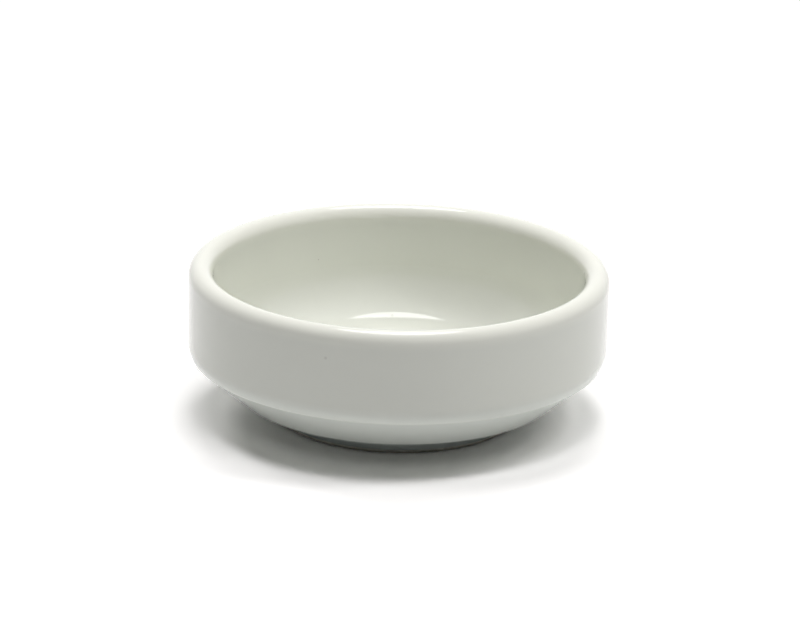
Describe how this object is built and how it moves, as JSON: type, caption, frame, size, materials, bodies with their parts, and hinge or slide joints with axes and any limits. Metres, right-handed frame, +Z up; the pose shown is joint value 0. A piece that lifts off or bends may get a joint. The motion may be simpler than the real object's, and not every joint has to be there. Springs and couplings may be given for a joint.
{
  "type": "soy sauce dish",
  "caption": "Small round stacking dish of white glazed porcelain with an upright wall, a full-round lip, a flared lower body and a foot ring, for soy sauce or dips.",
  "frame": {"origin": "middle of the foot ring's seat, on the table", "axes": "+Z up along the dish's axis of revolution; +X and +Y are any two directions square to it, because the dish is round"},
  "size_m": [0.08, 0.08, 0.0293],
  "materials": {
    "porcelain": "matte",
    "glaze": "gloss"
  },
  "bodies": {
    "root": {"porcelain_body": "porcelain", "glaze_coat": "glaze", "foot_recess_glaze": "glaze"}
  },
  "joints": []
}
